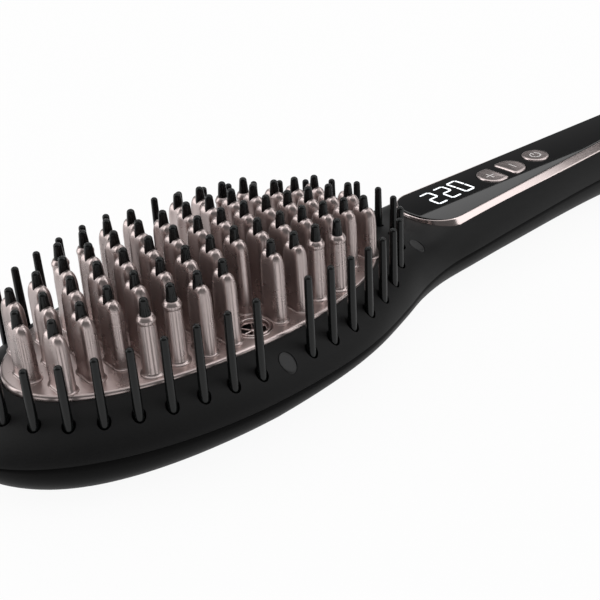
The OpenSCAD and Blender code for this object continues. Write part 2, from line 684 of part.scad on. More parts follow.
journal_r = 5;
journal_gap = 0.05;
flange_l = 1;
ring_t = 1.2;
ring_start = -ring_t - 0.2;
// The swivel's frame: its axis along +Z, from the collar's inner end
module swivel_frame() {
    translate([tail_end - collar_l, 0, swivel_h]) rotate([0, 90, 0]) children();
}
module end_collar() color(satin_black) swivel_frame() difference() {
    union() {
        cylinder(r = tail_bore, h = collar_l, $fn = 64);
        translate([0, 0, collar_l]) cylinder(r = tail_bore + 0.6, h = flange_l, $fn = 64);
    }
    translate([0, 0, -1]) cylinder(r = journal_r + journal_gap, h = 20, $fn = 64);
}

module swivel_bush() color(satin_black) swivel_frame() difference() {
    lip_z = collar_l + flange_l + 0.1;
    end_z = collar_l + bush_out;
    union() {
        translate([0, 0, ring_start - 1]) cylinder(r = journal_r, h = lip_z + 1 - ring_start, $fn = 64);
        translate([0, 0, lip_z]) cylinder(r1 = 6.8, r2 = 6.2, h = 3, $fn = 64);
        translate([0, 0, lip_z + 3]) cylinder(r1 = 6.2, r2 = 5, h = end_z - lip_z - 3, $fn = 64);
    }
    translate([0, 0, -6]) cylinder(r = cord_r, h = 40, $fn = 64);
}

// A snap ring on the swivel's inner end keeps it in the collar
module swivel_ring() color(steel) swivel_frame() translate([0, 0, ring_start]) difference() {
    cylinder(r = 6.6, h = ring_t, $fn = 64);
    translate([0, 0, -1]) cylinder(r = journal_r, h = ring_t + 2, $fn = 64);
}

module placed() { translate([-mid_x, 0, 0]) children(); }

placed() lower_shell();
placed() upper_shell();
placed() heating_plate();
placed() finned_posts();
placed() round_posts();
placed() bristle_caps();
placed() edge_bristles();
placed() bristle_strips();
placed() plate_tray();
placed() heater_elements();
placed() heater_insulation();
placed() heater_clamp();
placed() clamp_screws();
placed() thermistor();
placed() thermal_fuse();
placed() outlet_rings();
placed() outlet_grilles();
placed() ion_tubes();
placed() ion_needles();
placed() ion_generator();
placed() ion_leads();
placed() screw_covers();
placed() housing_screws();
placed() trim_ring();
placed() control_panel();
placed() display_digits();
placed() display_module();
placed() control_board();
placed() board_carrier();
placed() tact_switches();
placed() plus_button();
placed() minus_button();
placed() power_button();
placed() power_board();
placed() board_parts();
placed() heater_wires();
placed() end_collar();
placed() swivel_bush();
placed() swivel_ring();
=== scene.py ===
import json
import math

import bmesh
import bpy
from mathutils import Matrix, Vector


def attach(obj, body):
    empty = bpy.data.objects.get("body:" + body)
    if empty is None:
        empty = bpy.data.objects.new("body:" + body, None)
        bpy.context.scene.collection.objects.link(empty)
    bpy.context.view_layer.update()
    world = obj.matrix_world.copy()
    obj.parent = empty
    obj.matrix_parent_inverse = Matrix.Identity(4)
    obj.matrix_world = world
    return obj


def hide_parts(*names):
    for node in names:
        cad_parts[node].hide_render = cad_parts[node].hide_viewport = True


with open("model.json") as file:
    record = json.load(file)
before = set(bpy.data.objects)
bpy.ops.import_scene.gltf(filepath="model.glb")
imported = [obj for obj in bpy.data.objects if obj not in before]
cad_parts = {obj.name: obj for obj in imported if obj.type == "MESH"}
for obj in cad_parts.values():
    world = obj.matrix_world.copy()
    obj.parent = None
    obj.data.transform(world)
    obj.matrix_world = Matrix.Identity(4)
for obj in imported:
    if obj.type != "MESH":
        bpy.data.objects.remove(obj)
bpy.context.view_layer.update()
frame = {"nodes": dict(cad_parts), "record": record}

# Sizes are millimetres in the CAD's design frame: x = 0 is the head's middle, z = 0 the surface
# that the brush lies on. MID_X is the middle of its length, which is the row frame's origin.
MID_X = 82.0
MM = 0.001

# ---- named sizes, most of them the CAD's ----
HEAD_TIP, HEAD_HALF_W, SEAM_H, CROWN_H, WALL = 64.0, 33.5, 10.4, 10.6, 2.0
FLAT_PART, FLAT_TIP, FLAT_REACH, FLAT_FALL = 0.52, 0.78, 50.0, 0.009
PLATE_HALF_L, PLATE_HALF_W, PLATE_TOP, PLATE_T = 50.3, 24.5, 20.0, 3.0
POST_PITCH, ROW_PITCH, OUTER_ROW_Y, DOME_H = 6.5, 9.2, 17.9, 41.5
FIN_L, FIN_OUTER_L, FIN_T, COLLAR_R, CAP_R = 7.3, 6.6, 3.0, 2.0, 1.1
RING_HALF_L, RING_HALF_W, RING_COUNT, OVAL_POWER = 56.0, 29.7, 40, 2.1
PANEL_FRONT, PANEL_L, PANEL_HALF_W, PANEL_H, PANEL_TILT = 67.8, 104.0, 10.8, 19.1, 1.6
PANEL_TAPER, PANEL_ROUND, PANEL_CROWN = 0.047, 9.0, 0.6
TRIM_OUT, TRIM_WIDEN, TRIM_DROP, TRIM_FRONT, TRIM_REAR = 1.1, 0.01, 1.7, 0.6, 0.8
TAIL_END, TAIL_BORE, COLLAR_L, SWIVEL_H = 216.0, 7.0, 9.0, 11.3
WIDEST_X = -4.0
HEAD_L = HEAD_TIP + WIDEST_X
# Here the covers are smaller than the CAD's, and the holes round the edge bristles wider
COVER_R, COVER_GAP, COVER_SEAT, PIN_HOLE_R, PLATE_GAP = 1.9, 0.12, 4.2, 1.45, 0.25
OUTLET_R, GRILLE_R, OUTLET_LOW = 4.3, 3.4, 18.6
CAP_OUT, CAP_IN, FIN_LOBE, COLLAR_DROP = 4.7, 3.0, 1.5, 3.9
STRIP_TOP = 11.0

STATIONS = [
    (-4, 33.5, 10.4, 21.0, 0.0), (14, 32.5, 10.4, 21.0, 0.0), (28, 29.8, 10.4, 21.2, 0.0),
    (42, 24.9, 10.4, 21.0, 0.1), (54, 20.0, 10.4, 20.6, 0.2), (66, 17.0, 10.6, 18.4, 0.4),
    (80, 16.0, 10.9, 19.3, 0.8), (95, 14.9, 11.2, 20.1, 1.0), (139, 12.0, 11.6, 21.2, 1.1),
    (175, 12.3, 11.6, 21.4, 0.6), (204, 12.2, 11.3, 20.8, 0.0), (212, 11.4, 11.3, 20.4, 0.6),
    (216, 10.0, 11.3, 19.7, 2.4),
]
LAST = len(STATIONS) - 1


def slope(i, c):
    if i == 0:
        return 0.0
    a, b = (i - 1, i) if i == LAST else (i - 1, i + 1)
    return (STATIONS[b][c] - STATIONS[a][c]) / (STATIONS[b][0] - STATIONS[a][0])


def along(x, c):
    i = 0
    for k in range(LAST):
        if STATIONS[k][0] <= x:
            i = k
    d = STATIONS[i + 1][0] - STATIONS[i][0]
    t = (x - STATIONS[i][0]) / d
    u = 1 - t
    return (STATIONS[i][c] * u * u * (1 + 2 * t) + STATIONS[i + 1][c] * t * t * (3 - 2 * t)
            + slope(i, c) * d * t * u * u - slope(i + 1, c) * d * t * t * u)


def half_w(x):
    if x < WIDEST_X:
        return HEAD_HALF_W * math.sqrt(max(0.0, 1 - ((WIDEST_X - x) / HEAD_L) ** 2))
    return along(x, 1)


def seam_z(x):
    return SEAM_H if x < WIDEST_X else along(x, 2)


def top_rise(x):
    return CROWN_H if x < WIDEST_X else along(x, 3) - along(x, 2)


def drop(x):
    return SEAM_H if x < WIDEST_X else along(x, 2) - along(x, 4)


def flat_at(x):
    if x >= WIDEST_X:
        return max(0.1, FLAT_PART - FLAT_FALL * (x - WIDEST_X))
    t = min(1.0, (WIDEST_X - x) / FLAT_REACH)
    return FLAT_PART + (FLAT_TIP - FLAT_PART) * t * t * (3 - 2 * t)


def top_shape(r):
    return max(0.0, 1 - r ** 5) ** (1 / 1.4)


def bottom_shape(r, f):
    return math.sqrt(max(0.0, 1 - (max(0.0, r - f) / (1 - f)) ** 2))


def top_z(x, y):
    if x < WIDEST_X:
        r = min(1.0, math.hypot((WIDEST_X - x) / HEAD_L, y / HEAD_HALF_W))
    else:
        r = min(1.0, abs(y) / half_w(x))
    return seam_z(x) + top_rise(x) * top_shape(r)


def oval_point(a, half_l, half_wd):
    c, s = math.cos(a), math.sin(a)
    return (half_l * math.copysign(abs(c) ** (2 / OVAL_POWER), c),
            half_wd * math.copysign(abs(s) ** (2 / OVAL_POWER), s))


def oval(half_l, half_wd, steps):
    return [oval_point(2 * math.pi * k / steps, half_l, half_wd) for k in range(steps)]


def ring_places():
    fine = 1440
    pts = [oval_point(2 * math.pi * k / fine, RING_HALF_L, RING_HALF_W) for k in range(fine + 1)]
    run = [0.0]
    for a, b in zip(pts, pts[1:]):
        run.append(run[-1] + math.dist(a, b))
    out, k = [], 0
    for n in range(RING_COUNT):
        want = run[-1] * n / RING_COUNT
        while run[k + 1] < want:
            k += 1
        f = (want - run[k]) / (run[k + 1] - run[k])
        out.append((pts[k][0] + (pts[k + 1][0] - pts[k][0]) * f, pts[k][1] + (pts[k + 1][1] - pts[k][1]) * f))
    return out


PIN_PLACES = [p for n, p in enumerate(ring_places()) if n not in (10, 30)]
COVER_PLACES = [(0, RING_HALF_W), (0, -RING_HALF_W), (56.4, 13.6), (56.4, -13.6)]
OUTLET_PLACES = [(0, OUTER_ROW_Y), (0, -OUTER_ROW_Y)]
FIN_PLACES = ([(c * POST_PITCH, 0.0) for c in range(-7, 8)]
              + [((c + 0.5) * POST_PITCH, s * ROW_PITCH) for s in (-1, 1) for c in range(-7, 7)]
              + [(c * POST_PITCH, s * OUTER_ROW_Y) for s in (-1, 1) for c in (-2, -1, 1, 2)])
ROUND_PLACES = [(c * POST_PITCH, s * (OUTER_ROW_Y - 0.3)) for s in (-1, 1) for c in (-4, -3, 3, 4)]


def pin_tip(x):
    return max(31.1 if x > 0 else 29.0, 34.9 - 5 * (abs(x) / 52) ** 1.6)


def cap_tip(x, y):
    return DOME_H - x * x / 353 - y * y / 172


# ---- mesh helpers ----

class Shape:
    """Vertices in millimetres and faces, gathered from simpler shapes."""

    def __init__(self):
        self.v, self.f = [], []

    def add(self, verts, faces):
        n = len(self.v)
        self.v.extend(verts)
        self.f.extend(tuple(n + i for i in face) for face in faces)
        return self


def lathe(profile, segs=24, at=(0, 0, 0), closed=False):
    verts, rings, faces = [], [], []
    for r, z in profile:
        start = len(verts)
        count = 1 if r < 1e-6 else segs
        verts += [(at[0] + r * math.cos(2 * math.pi * k / segs), at[1] + r * math.sin(2 * math.pi * k / segs),
                   at[2] + z) for k in range(count)]
        rings.append(list(range(start, start + count)))
    pairs = list(zip(rings, rings[1:])) + ([(rings[-1], rings[0])] if closed else [])
    for a, b in pairs:
        for k in range(segs):
            m = (k + 1) % segs
            if len(a) == 1 and len(b) == 1:
                continue
            if len(a) == 1:
                faces.append((a[0], b[m], b[k]))
            elif len(b) == 1:
                faces.append((a[k], a[m], b[0]))
            else:
                faces.append((a[k], a[m], b[m], b[k]))
    return verts, faces


def prism(outline, z0, z1, place=None):
    place = place or (lambda x, y, z: (x, y, z))
    n = len(outline)
    verts = [place(x, y, z0) for x, y in outline] + [place(x, y, z1) for x, y in outline]
    faces = [tuple(range(n - 1, -1, -1)), tuple(range(n, 2 * n))]
    faces += [(k, (k + 1) % n, n + (k + 1) % n, n + k) for k in range(n)]
    return verts, faces


def stack(rings, cap_low=True, cap_high=True):
    """Rings of equally many points, joined by quads, with flat faces at both ends."""
    n = len(rings[0])
    verts = [p for ring in rings for p in ring]
    faces = [(i * n + k, i * n + (k + 1) % n, (i + 1) * n + (k + 1) % n, (i + 1) * n + k)
             for i in range(len(rings) - 1) for k in range(n)]
    if cap_low:
        faces.append(tuple(range(n - 1, -1, -1)))
    if cap_high:
        faces.append(tuple(range((len(rings) - 1) * n, len(rings) * n)))
    return verts, faces


def new_mesh(name, shape):
    mesh = bpy.data.meshes.new(name)
    mesh.from_pydata([((x - MID_X) * MM, y * MM, z * MM) for x, y, z in shape.v], [], shape.f)
    bm = bmesh.new()
    bm.from_mesh(mesh)
    bmesh.ops.remove_doubles(bm, verts=bm.verts, dist=2e-7)
    bmesh.ops.dissolve_degenerate(bm, edges=bm.edges, dist=2e-7)
    bmesh.ops.recalc_face_normals(bm, faces=bm.faces)
    bm.to_mesh(mesh)
    bm.free()
    return mesh


def soften(mesh, angle):
    mesh.shade_smooth()
    mesh.set_sharp_from_angle(angle=math.radians(angle))


def bare(name, shape):
    obj = bpy.data.objects.new(name, new_mesh(name, shape))
    bpy.context.scene.collection.objects.link(obj)
    return obj


def cut(obj, shape, solver="MANIFOLD"):
    tool = bare("cutter", shape)
    mod = obj.modifiers.new("cut", "BOOLEAN")
    mod.operation, mod.object, mod.solver = "DIFFERENCE", tool, solver
    bpy.context.view_layer.update()
    made = bpy.data.meshes.new_from_object(obj.evaluated_get(bpy.context.evaluated_depsgraph_get()))
    obj.modifiers.clear()
    old = obj.data
    made.name = obj.name
    obj.data = made
    bpy.data.meshes.remove(old)
    bpy.data.objects.remove(tool)
    return obj


def piece(obj, material, nodes=(), body="housing", angle=35):
    soften(obj.data, angle)
    obj.data.materials.clear()
    obj.data.materials.append(material)
    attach(obj, body)
    if nodes:
        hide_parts(*nodes)
    return obj


# ---- materials ----

def grainy(name, dark, light, rough=(0.4, 0.5), scale=2200.0, bump=0.15, bump_mm=0.02, metallic=0.0,
           specular=0.5, coat=0.0, coat_rough=0.05, emission=0.0, patch=60.0, stretch=(1, 1, 1)):
    """A surface whose colour, gloss and relief vary with two scales of noise."""
    mat = bpy.data.materials.new(name)
    mat.use_nodes = True
    nodes, links = mat.node_tree.nodes, mat.node_tree.links
    shader = nodes["Principled BSDF"]
    coords = nodes.new("ShaderNodeTexCoord")
    mapping = nodes.new("ShaderNodeMapping")
    mapping.inputs["Scale"].default_value = stretch
    links.new(coords.outputs["Object"], mapping.inputs["Vector"])
    fine = nodes.new("ShaderNodeTexNoise")
    fine.inputs["Scale"].default_value = scale
    fine.inputs["Detail"].default_value = 3.0
    broad = nodes.new("ShaderNodeTexNoise")
    broad.inputs["Scale"].default_value = patch
    broad.inputs["Detail"].default_value = 2.0
    for n in (fine, broad):
        links.new(mapping.outputs["Vector"], n.inputs["Vector"])
    both = nodes.new("ShaderNodeMath")
    both.operation = "MULTIPLY_ADD"
    both.inputs[1].default_value = 0.5
    half = nodes.new("ShaderNodeMath")
    half.operation = "MULTIPLY"
    half.inputs[1].default_value = 0.5
    links.new(broad.outputs["Fac"], half.inputs[0])
    links.new(fine.outputs["Fac"], both.inputs[0])
    links.new(half.outputs[0], both.inputs[2])
    ramp = nodes.new("ShaderNodeValToRGB")
    ramp.color_ramp.elements[0].position, ramp.color_ramp.elements[1].position = 0.36, 0.64
    ramp.color_ramp.elements[0].color = (*dark, 1)
    ramp.color_ramp.elements[1].color = (*light, 1)
    links.new(both.outputs[0], ramp.inputs["Fac"])
    links.new(ramp.outputs["Color"], shader.inputs["Base Color"])
    gloss = nodes.new("ShaderNodeMapRange")
    gloss.inputs["From Min"].default_value, gloss.inputs["From Max"].default_value = 0.35, 0.65
    gloss.inputs["To Min"].default_value, gloss.inputs["To Max"].default_value = rough
    links.new(both.outputs[0], gloss.inputs["Value"])
    links.new(gloss.outputs["Result"], shader.inputs["Roughness"])
    if bump:
        relief = nodes.new("ShaderNodeBump")
        relief.inputs["Strength"].default_value = bump
        relief.inputs["Distance"].default_value = bump_mm * MM
        links.new(fine.outputs["Fac"], relief.inputs["Height"])
        links.new(relief.outputs["Normal"], shader.inputs["Normal"])
    shader.inputs["Metallic"].default_value = metallic
    shader.inputs["Specular IOR Level"].default_value = specular
    shader.inputs["Coat Weight"].default_value = coat
    shader.inputs["Coat Roughness"].default_value = coat_rough
    if emission:
        links.new(ramp.outputs["Color"], shader.inputs["Emission Color"])
        shader.inputs["Emission Strength"].default_value = emission
    return mat


MAT = {
    "shell": grainy("shell", (0.0085, 0.0085, 0.0087), (0.0110, 0.0110, 0.0112), (0.44, 0.54),
                    2600, 0.12, 0.015, specular=0.13),
    # shell_low is a darker, less glossy copy of the shell's black: painted shade for the lower shell's sides
    # and underside, which face away from the light
    "shell_low": grainy("shell_low", (0.0022, 0.0022, 0.0023), (0.0032, 0.0032, 0.0033), (0.42, 0.50),
                        2600, 0.08, 0.01, specular=0.05),
    "rose_metal": grainy("rose_metal", (0.50, 0.42, 0.405), (0.54, 0.455, 0.44), (0.26, 0.31), 420, 0, 0,
                         metallic=0.88, patch=120),
    "rose_trim": grainy("rose_trim", (0.60, 0.515, 0.50), (0.63, 0.545, 0.53), (0.17, 0.21), 420, 0, 0,
                        metallic=1.0, patch=120),
    "tip_plastic": grainy("tip_plastic", (0.0022, 0.0027, 0.0027), (0.0034, 0.0039, 0.0039), (0.15, 0.19),
                          900, 0, 0, specular=0.3),
    "pin_plastic": grainy("pin_plastic", (0.0030, 0.0036, 0.0036), (0.0045, 0.0052, 0.0052), (0.17, 0.22),
                          900, 0, 0, specular=0.28),
    "inner_plastic": grainy("inner_plastic", (0.04, 0.04, 0.042), (0.055, 0.055, 0.057), (0.5, 0.6),
                            1500, 0.15, 0.02),
    "heater_ceramic": grainy("heater_ceramic", (0.78, 0.75, 0.70), (0.88, 0.86, 0.82), (0.5, 0.62),
                             1800, 0.12, 0.02),
    "film": grainy("film", (0.55, 0.34, 0.10), (0.72, 0.48, 0.18), (0.25, 0.35), 900, 0.06, 0.02),
    "steel": grainy("steel", (0.52, 0.52, 0.54), (0.68, 0.68, 0.70), (0.22, 0.34), 1600, 0.08, 0.01,
                    metallic=1.0, stretch=(0.2, 1, 1)),
    "module_plastic": grainy("module_plastic", (0.05, 0.055, 0.07), (0.08, 0.085, 0.10), (0.4, 0.5),
                             1500, 0.1, 0.02),
    "wire_insulation": grainy("wire_insulation", (0.50, 0.06, 0.045), (0.64, 0.10, 0.08), (0.38, 0.48),
                              1200, 0.08, 0.02),
    "cover_plastic": grainy("cover_plastic", (0.012, 0.012, 0.0125), (0.017, 0.017, 0.0175), (0.32, 0.38),
                            2200, 0.04, 0.005, specular=0.25),
    "panel_gloss": grainy("panel_gloss", (0.0035, 0.0035, 0.004), (0.005, 0.005, 0.0055), (0.025, 0.045),
                          1200, 0, 0.0),
    "digit_white": grainy("digit_white", (0.86, 0.92, 0.97), (0.96, 0.99, 1.0), (0.3, 0.4), 1500, 0.03, 0.01,
                          emission=1.0),
    "icon_white": grainy("icon_white", (0.80, 0.78, 0.77), (0.90, 0.88, 0.87), (0.3, 0.4), 2500, 0.05, 0.01),
    "board": grainy("board", (0.03, 0.16, 0.08), (0.05, 0.24, 0.12), (0.3, 0.42), 700, 0.12, 0.03),
    "cord_rubber": grainy("cord_rubber", (0.018, 0.018, 0.019), (0.026, 0.026, 0.027), (0.5, 0.6),
                          1800, 0.18, 0.03),
}

# ---- shells ----

HEAD_ROWS, BODY_ROWS, SIDE_STEPS = 44, 150, 64
GROOVE = 0.28


def half_shell(up):
    rows = HEAD_ROWS + BODY_ROWS

    def grid(t):
        out = []
        for i in range(rows + 1):
            angle = math.radians(max(1.5, 90 * i / HEAD_ROWS))
            head = i < HEAD_ROWS
            if head:
                x = WIDEST_X - (HEAD_L - t) * math.cos(angle)
                sx, w = WIDEST_X - HEAD_L * math.cos(angle), (HEAD_HALF_W - t) * math.sin(angle)
            else:
                f = (i - HEAD_ROWS) / BODY_ROWS
                sx = WIDEST_X + (TAIL_END - WIDEST_X) * f
                x, w = sx - (t if i == rows else 0), along(sx, 1) - t
            h = (top_rise(sx) if up else drop(sx)) - t
            z0 = seam_z(sx)
            for j in range(SIDE_STEPS + 1):
                s = math.sin(math.radians(-90 + 180 * j / SIDE_STEPS))
                r = math.hypot(math.cos(angle), math.sin(angle) * s) if head else abs(s)
                if i == 0 or j in (0, SIDE_STEPS):
                    rise, pull = 0.0, (GROOVE if t == 0 else 0.0)
                else:
                    rise, pull = (top_shape(r) if up else bottom_shape(r, flat_at(sx))), 0.0
                out.append((x + (pull if head else 0) * math.cos(angle),
                            (w - pull * (math.sin(angle) if head else 1)) * s,
                            z0 + (1 if up else -1) * h * rise))
        return out

    n, w = (rows + 1) * (SIDE_STEPS + 1), SIDE_STEPS + 1
    faces = []
    for i in range(rows):
        for j in range(SIDE_STEPS):
            a = i * w + j
            faces += [(a, a + w, a + w + 1, a + 1), (n + a, n + a + 1, n + a + w + 1, n + a + w)]
        a = i * w
        faces.append((a, n + a, n + a + w, a + w))
        a += SIDE_STEPS
        faces.append((a, a + w, n + a + w, n + a))
    faces += [(j, j + 1, n + j + 1, n + j) for j in range(SIDE_STEPS)]
    end = [rows * w + j for j in range(w)]
    faces += [tuple(end), tuple(n + k for k in reversed(end)), (end[0], n + end[0], n + end[-1], end[-1])]
    return Shape().add(grid(0.0) + grid(WALL), faces)


def tail_cutter():
    verts, faces = lathe([(0, 0), (TAIL_BORE, 0), (TAIL_BORE, COLLAR_L + 3), (0, COLLAR_L + 3)], 96)
    return Shape().add([(TAIL_END - COLLAR_L + z, y, SWIVEL_H - x) for x, y, z in verts], faces)


def rod(x, y, z0, z1, r, segs=32):
    return lathe([(0, z0), (r, z0), (r, z1), (0, z1)], segs, (x, y, 0))


def panel_point(s, y, z):
    a = math.radians(PANEL_TILT)
    return (PANEL_FRONT + s * math.cos(a) - z * math.sin(a), y, PANEL_H + s * math.sin(a) + z * math.cos(a))


def taper_side(s0, s1, w, k):
    """(place, half width) of a tapered outline with round ends, from its front to its rear."""
    steps = 22
    front = [s0 + PANEL_ROUND * (1 - math.cos(math.pi / 2 * i / steps)) for i in range(steps + 1)]
    rear = [s1 - PANEL_ROUND * (1 - math.cos(math.pi / 2 * i / steps)) for i in range(steps, -1, -1)]
    count = 24
    straight = [front[-1] + (rear[0] - front[-1]) * i / count for i in range(1, count)]
    out = []
    for s in front + straight + rear:
        f, r = max(0.0, (s0 + PANEL_ROUND - s) / PANEL_ROUND), max(0.0, (s - s1 + PANEL_ROUND) / PANEL_ROUND)
        out.append((s, (w - k * s) * math.sqrt(max(0.0, 1 - f * f)) * math.sqrt(max(0.0, 1 - r * r))))
    return out


def panel_side(inset):
    return taper_side(inset, PANEL_L - inset, PANEL_HALF_W - inset, PANEL_TAPER)


def trim_side(grow):
    return taper_side(-TRIM_FRONT - grow, PANEL_L + TRIM_REAR + grow, PANEL_HALF_W + TRIM_OUT + grow,
                      PANEL_TAPER - TRIM_WIDEN)


def loop_of(side):
    return [(s, w) for s, w in side] + [(s, -w) for s, w in reversed(side[1:-1])]


upper = bare("upper_shell_skin", half_shell(True))
holes = Shape().add(*prism(oval(PLATE_HALF_L + PLATE_GAP, PLATE_HALF_W + PLATE_GAP, 160), SEAM_H - 1, 24))
for x, y in PIN_PLACES:
    holes.add(*rod(x, y, SEAM_H - 2, 24, PIN_HOLE_R))
for x, y in COVER_PLACES:
    holes.add(*rod(x, y, top_z(x, y) - COVER_SEAT, 26, COVER_R + COVER_GAP, 48))
cut(upper, holes)
cut(upper, Shape().add(*prism(loop_of(trim_side(0.1)), -TRIM_DROP, 4, panel_point)))
cut(upper, tail_cutter())
piece(upper, MAT["shell"], ["upper_shell"], angle=40)

lower = bare("lower_shell_skin", half_shell(False))
cut(lower, tail_cutter())
# the lower shell gets the copy of the shell's black with painted shade
piece(lower, MAT["shell_low"], ["lower_shell"], angle=40)

# ---- heated plate ----

lip = []
for k in range(9):
    a = math.pi / 2 * k / 8
    lip.append((0.7 * (1 - math.cos(a)), PLATE_TOP - 0.9 * (1 - math.sin(a))))
rings = [[(x, y, PLATE_TOP - PLATE_T) for x, y in oval(PLATE_HALF_L, PLATE_HALF_W, 192)]]
rings += [[(x, y, z) for x, y in oval(PLATE_HALF_L - d, PLATE_HALF_W - d, 192)] for d, z in lip]
plate = bare("heating_plate_skin", Shape().add(*stack(rings)))
holes = Shape()
for x, y in OUTLET_PLACES:
    holes.add(*rod(x, y, PLATE_TOP - PLATE_T - 1, PLATE_TOP + 1, OUTLET_R, 64))
cut(plate, holes)
# A low bead runs round each outlet: (out of its hole, over the plate)
BEAD = [(0.02, -0.3), (0.02, 0.06), (0.08, 0.12), (0.2, 0.13), (0.32, 0.06), (0.4, -0.02), (0.4, -0.3)]
bead = Shape()
for x, y in OUTLET_PLACES:
    bead.add(*lathe([(OUTLET_R + out, PLATE_TOP + up) for out, up in BEAD], 64, (x, y, 0), closed=True))
piece(plate, MAT["rose_metal"], ["heating_plate"], angle=35)
piece(bare("outlet_beads", bead), MAT["rose_trim"], angle=60)

# ---- finned posts ----

FOOT_Z, FOOT_R = 0.16, 0.42
# Half of the crest, and how far under it the ends and the faces round off
RIDGE_HALF, SHOULDER_FALL, FACE_FALL = 1.65, 4.6, 3.6
# The hollow between the two fingers, and the dip that holds the cap
WAIST, SADDLE, SADDLE_HALF = 0.07, 0.15, 1.9
# How far the crest stands over the CAD's, and how much thicker a finger is on each side
CREST_UP, FIN_EXTRA = 0.3, 0.12


def round_off(u):
    u = min(1.0, max(0.0, u))
    return (1 - (1 - u) ** 2.4) ** (1 / 2.4)


def fin(at, h, l):
    """Two fingers run together: long falling shoulders, a dip for the cap and a foot that flares."""
    def section(d, z):
        """Half length, half thickness and waist at depth d under the crest, z over the plate."""
        foot = 0.0
        if z < FOOT_Z:
            foot = FOOT_R + 0.07 * min(1.0, (FOOT_Z - z) / 0.12)
        elif z < FOOT_Z + FOOT_R:
            foot = FOOT_R * (1 - math.sqrt(max(0.0, 1 - ((FOOT_Z + FOOT_R - z) / FOOT_R) ** 2)))
        length = RIDGE_HALF + (l / 2 - 0.1 - RIDGE_HALF) * round_off(d / SHOULDER_FALL) + 0.02 * d
        thick = (FIN_T / 2 + FIN_EXTRA) * round_off(d / FACE_FALL) + 0.01 * d
        waist = WAIST * min(1.0, d / 2.0) * (1 - foot / FOOT_R * 0.5)
        return length + foot, min(thick, length) + foot, waist

    depths = [0.004, 0.03, 0.08, 0.16, 0.28, 0.44, 0.66, 0.95, 1.3, 1.7, 2.2, 2.8, 3.6, 4.6, 6.0]
    low = [1.1, FOOT_Z + FOOT_R, 0.46, 0.36, 0.28, 0.22, 0.18, FOOT_Z, 0.11, 0.04, -0.05]
    levels = [h - d for d in depths] + [1.1 + (h - 6.0 - 1.1) * f for f in (0.75, 0.5, 0.25)] + low
    rings = []
    for z in reversed(levels):
        d = h - z
        half_l, t, waist = section(d, z)
        c = half_l - t
        ring = [(t * math.cos(a), c + t * math.sin(a)) for a in (math.pi * k / 12 for k in range(13))]
        face = [c * f for f in (0.75, 0.5, 0.25, 0.0, -0.25, -0.5, -0.75)]
        ring += [(-t + waist * (1 - (y / c) ** 2) ** 2 if c > 1e-6 else -t, y) for y in face]
        ring += [(-x, -y) for x, y in ring]
        fade = max(0.0, 1 - d / 5.0)
        rings.append([(at[0] + x, at[1] + y,
                       at[2] + z - SADDLE * fade * max(0.0, 1 - (y / SADDLE_HALF) ** 2) ** 2)
                      for x, y in ring])
    return stack(rings)


fins = Shape()
for x, y in FIN_PLACES:
    fins.add(*fin((x, y, PLATE_TOP), cap_tip(x, y) - PLATE_TOP - CAP_OUT + FIN_LOBE + CREST_UP,
                  FIN_OUTER_L if abs(y) > OUTER_ROW_Y - 1 else FIN_L))
piece(bare("finned_posts_skin", fins), MAT["rose_metal"], ["finned_posts"], angle=50)

# A round post's foot: (out of its radius, over the plate); and its collar: (out of it, under the top)
POST_FOOT = [(0.7, -0.05), (0.7, 0.16), (0.6, 0.26), (0.42, 0.34), (0.26, 0.5), (0.15, 0.75), (0.1, 1.1)]
POST_COLLAR = [(-0.13, 2.0), (-0.14, 1.85), (-0.06, 1.68), (0, 1.5), (0.02, 1.3), (0.02, 0.98),
               (-0.04, 0.84), (-0.42, 0.1), (-0.52, 0.02), (-0.64, 0)]
posts = Shape()
for x, y in ROUND_PLACES:
    h = cap_tip(x, y) - PLATE_TOP - COLLAR_DROP
    side = [(0, POST_FOOT[0][1])] + [(COLLAR_R + out, up) for out, up in POST_FOOT]
    side += [(COLLAR_R - 0.02, h * 0.55)] + [(COLLAR_R + out, h - down) for out, down in POST_COLLAR]
    posts.add(*lathe(side + [(0, h)], 48, (x, y, PLATE_TOP)))
piece(bare("round_posts_skin", posts), MAT["rose_metal"], ["round_posts"], angle=50)

# ---- caps and edge bristles ----

# Caps and edge bristles narrow towards their round ends
CAP_FOOT_R, CAP_TOP_R, CAP_ROUND = 1.3, 0.94, 0.8
PIN_FOOT_R, PIN_FOOT_L, PIN_TOP_R, PIN_ROUND = 1.05, 8.0, 0.87, 0.75


def round_end(r, edge, l):
    """The rounded end, at height l, of a turned piece whose side stands at radius r."""
    return [(r - edge + edge * math.cos(math.radians(a)), l - edge + edge * math.sin(math.radians(a)))
            for a in range(0, 91, 15)] + ([(0, l)] if edge < r else [])


caps = Shape()
for x, y in FIN_PLACES + ROUND_PLACES:
    l = CAP_OUT + CAP_IN
    side = [(0, 0), (CAP_R - 0.05, 0), (CAP_R, 0.05), (CAP_R + 0.05, CAP_IN - 1.3),
            (CAP_FOOT_R, CAP_IN - 1.0), (CAP_FOOT_R, CAP_IN + 0.2)]
    caps.add(*lathe(side + round_end(CAP_TOP_R, CAP_ROUND, l), 32, (x, y, cap_tip(x, y) - l)))
piece(bare("bristle_caps_skin", caps), MAT["tip_plastic"], ["bristle_caps"], angle=50)

pins = Shape()
for x, y in PIN_PLACES:
    l = pin_tip(x) - STRIP_TOP
    side = [(0, 0), (PIN_FOOT_R, 0), (PIN_FOOT_R, PIN_FOOT_L)] + round_end(PIN_TOP_R, PIN_ROUND, l)
    pins.add(*lathe(side, 28, (x, y, STRIP_TOP)))
piece(bare("edge_bristles_skin", pins), MAT["pin_plastic"], ["edge_bristles"], angle=50)

# ---- outlets ----

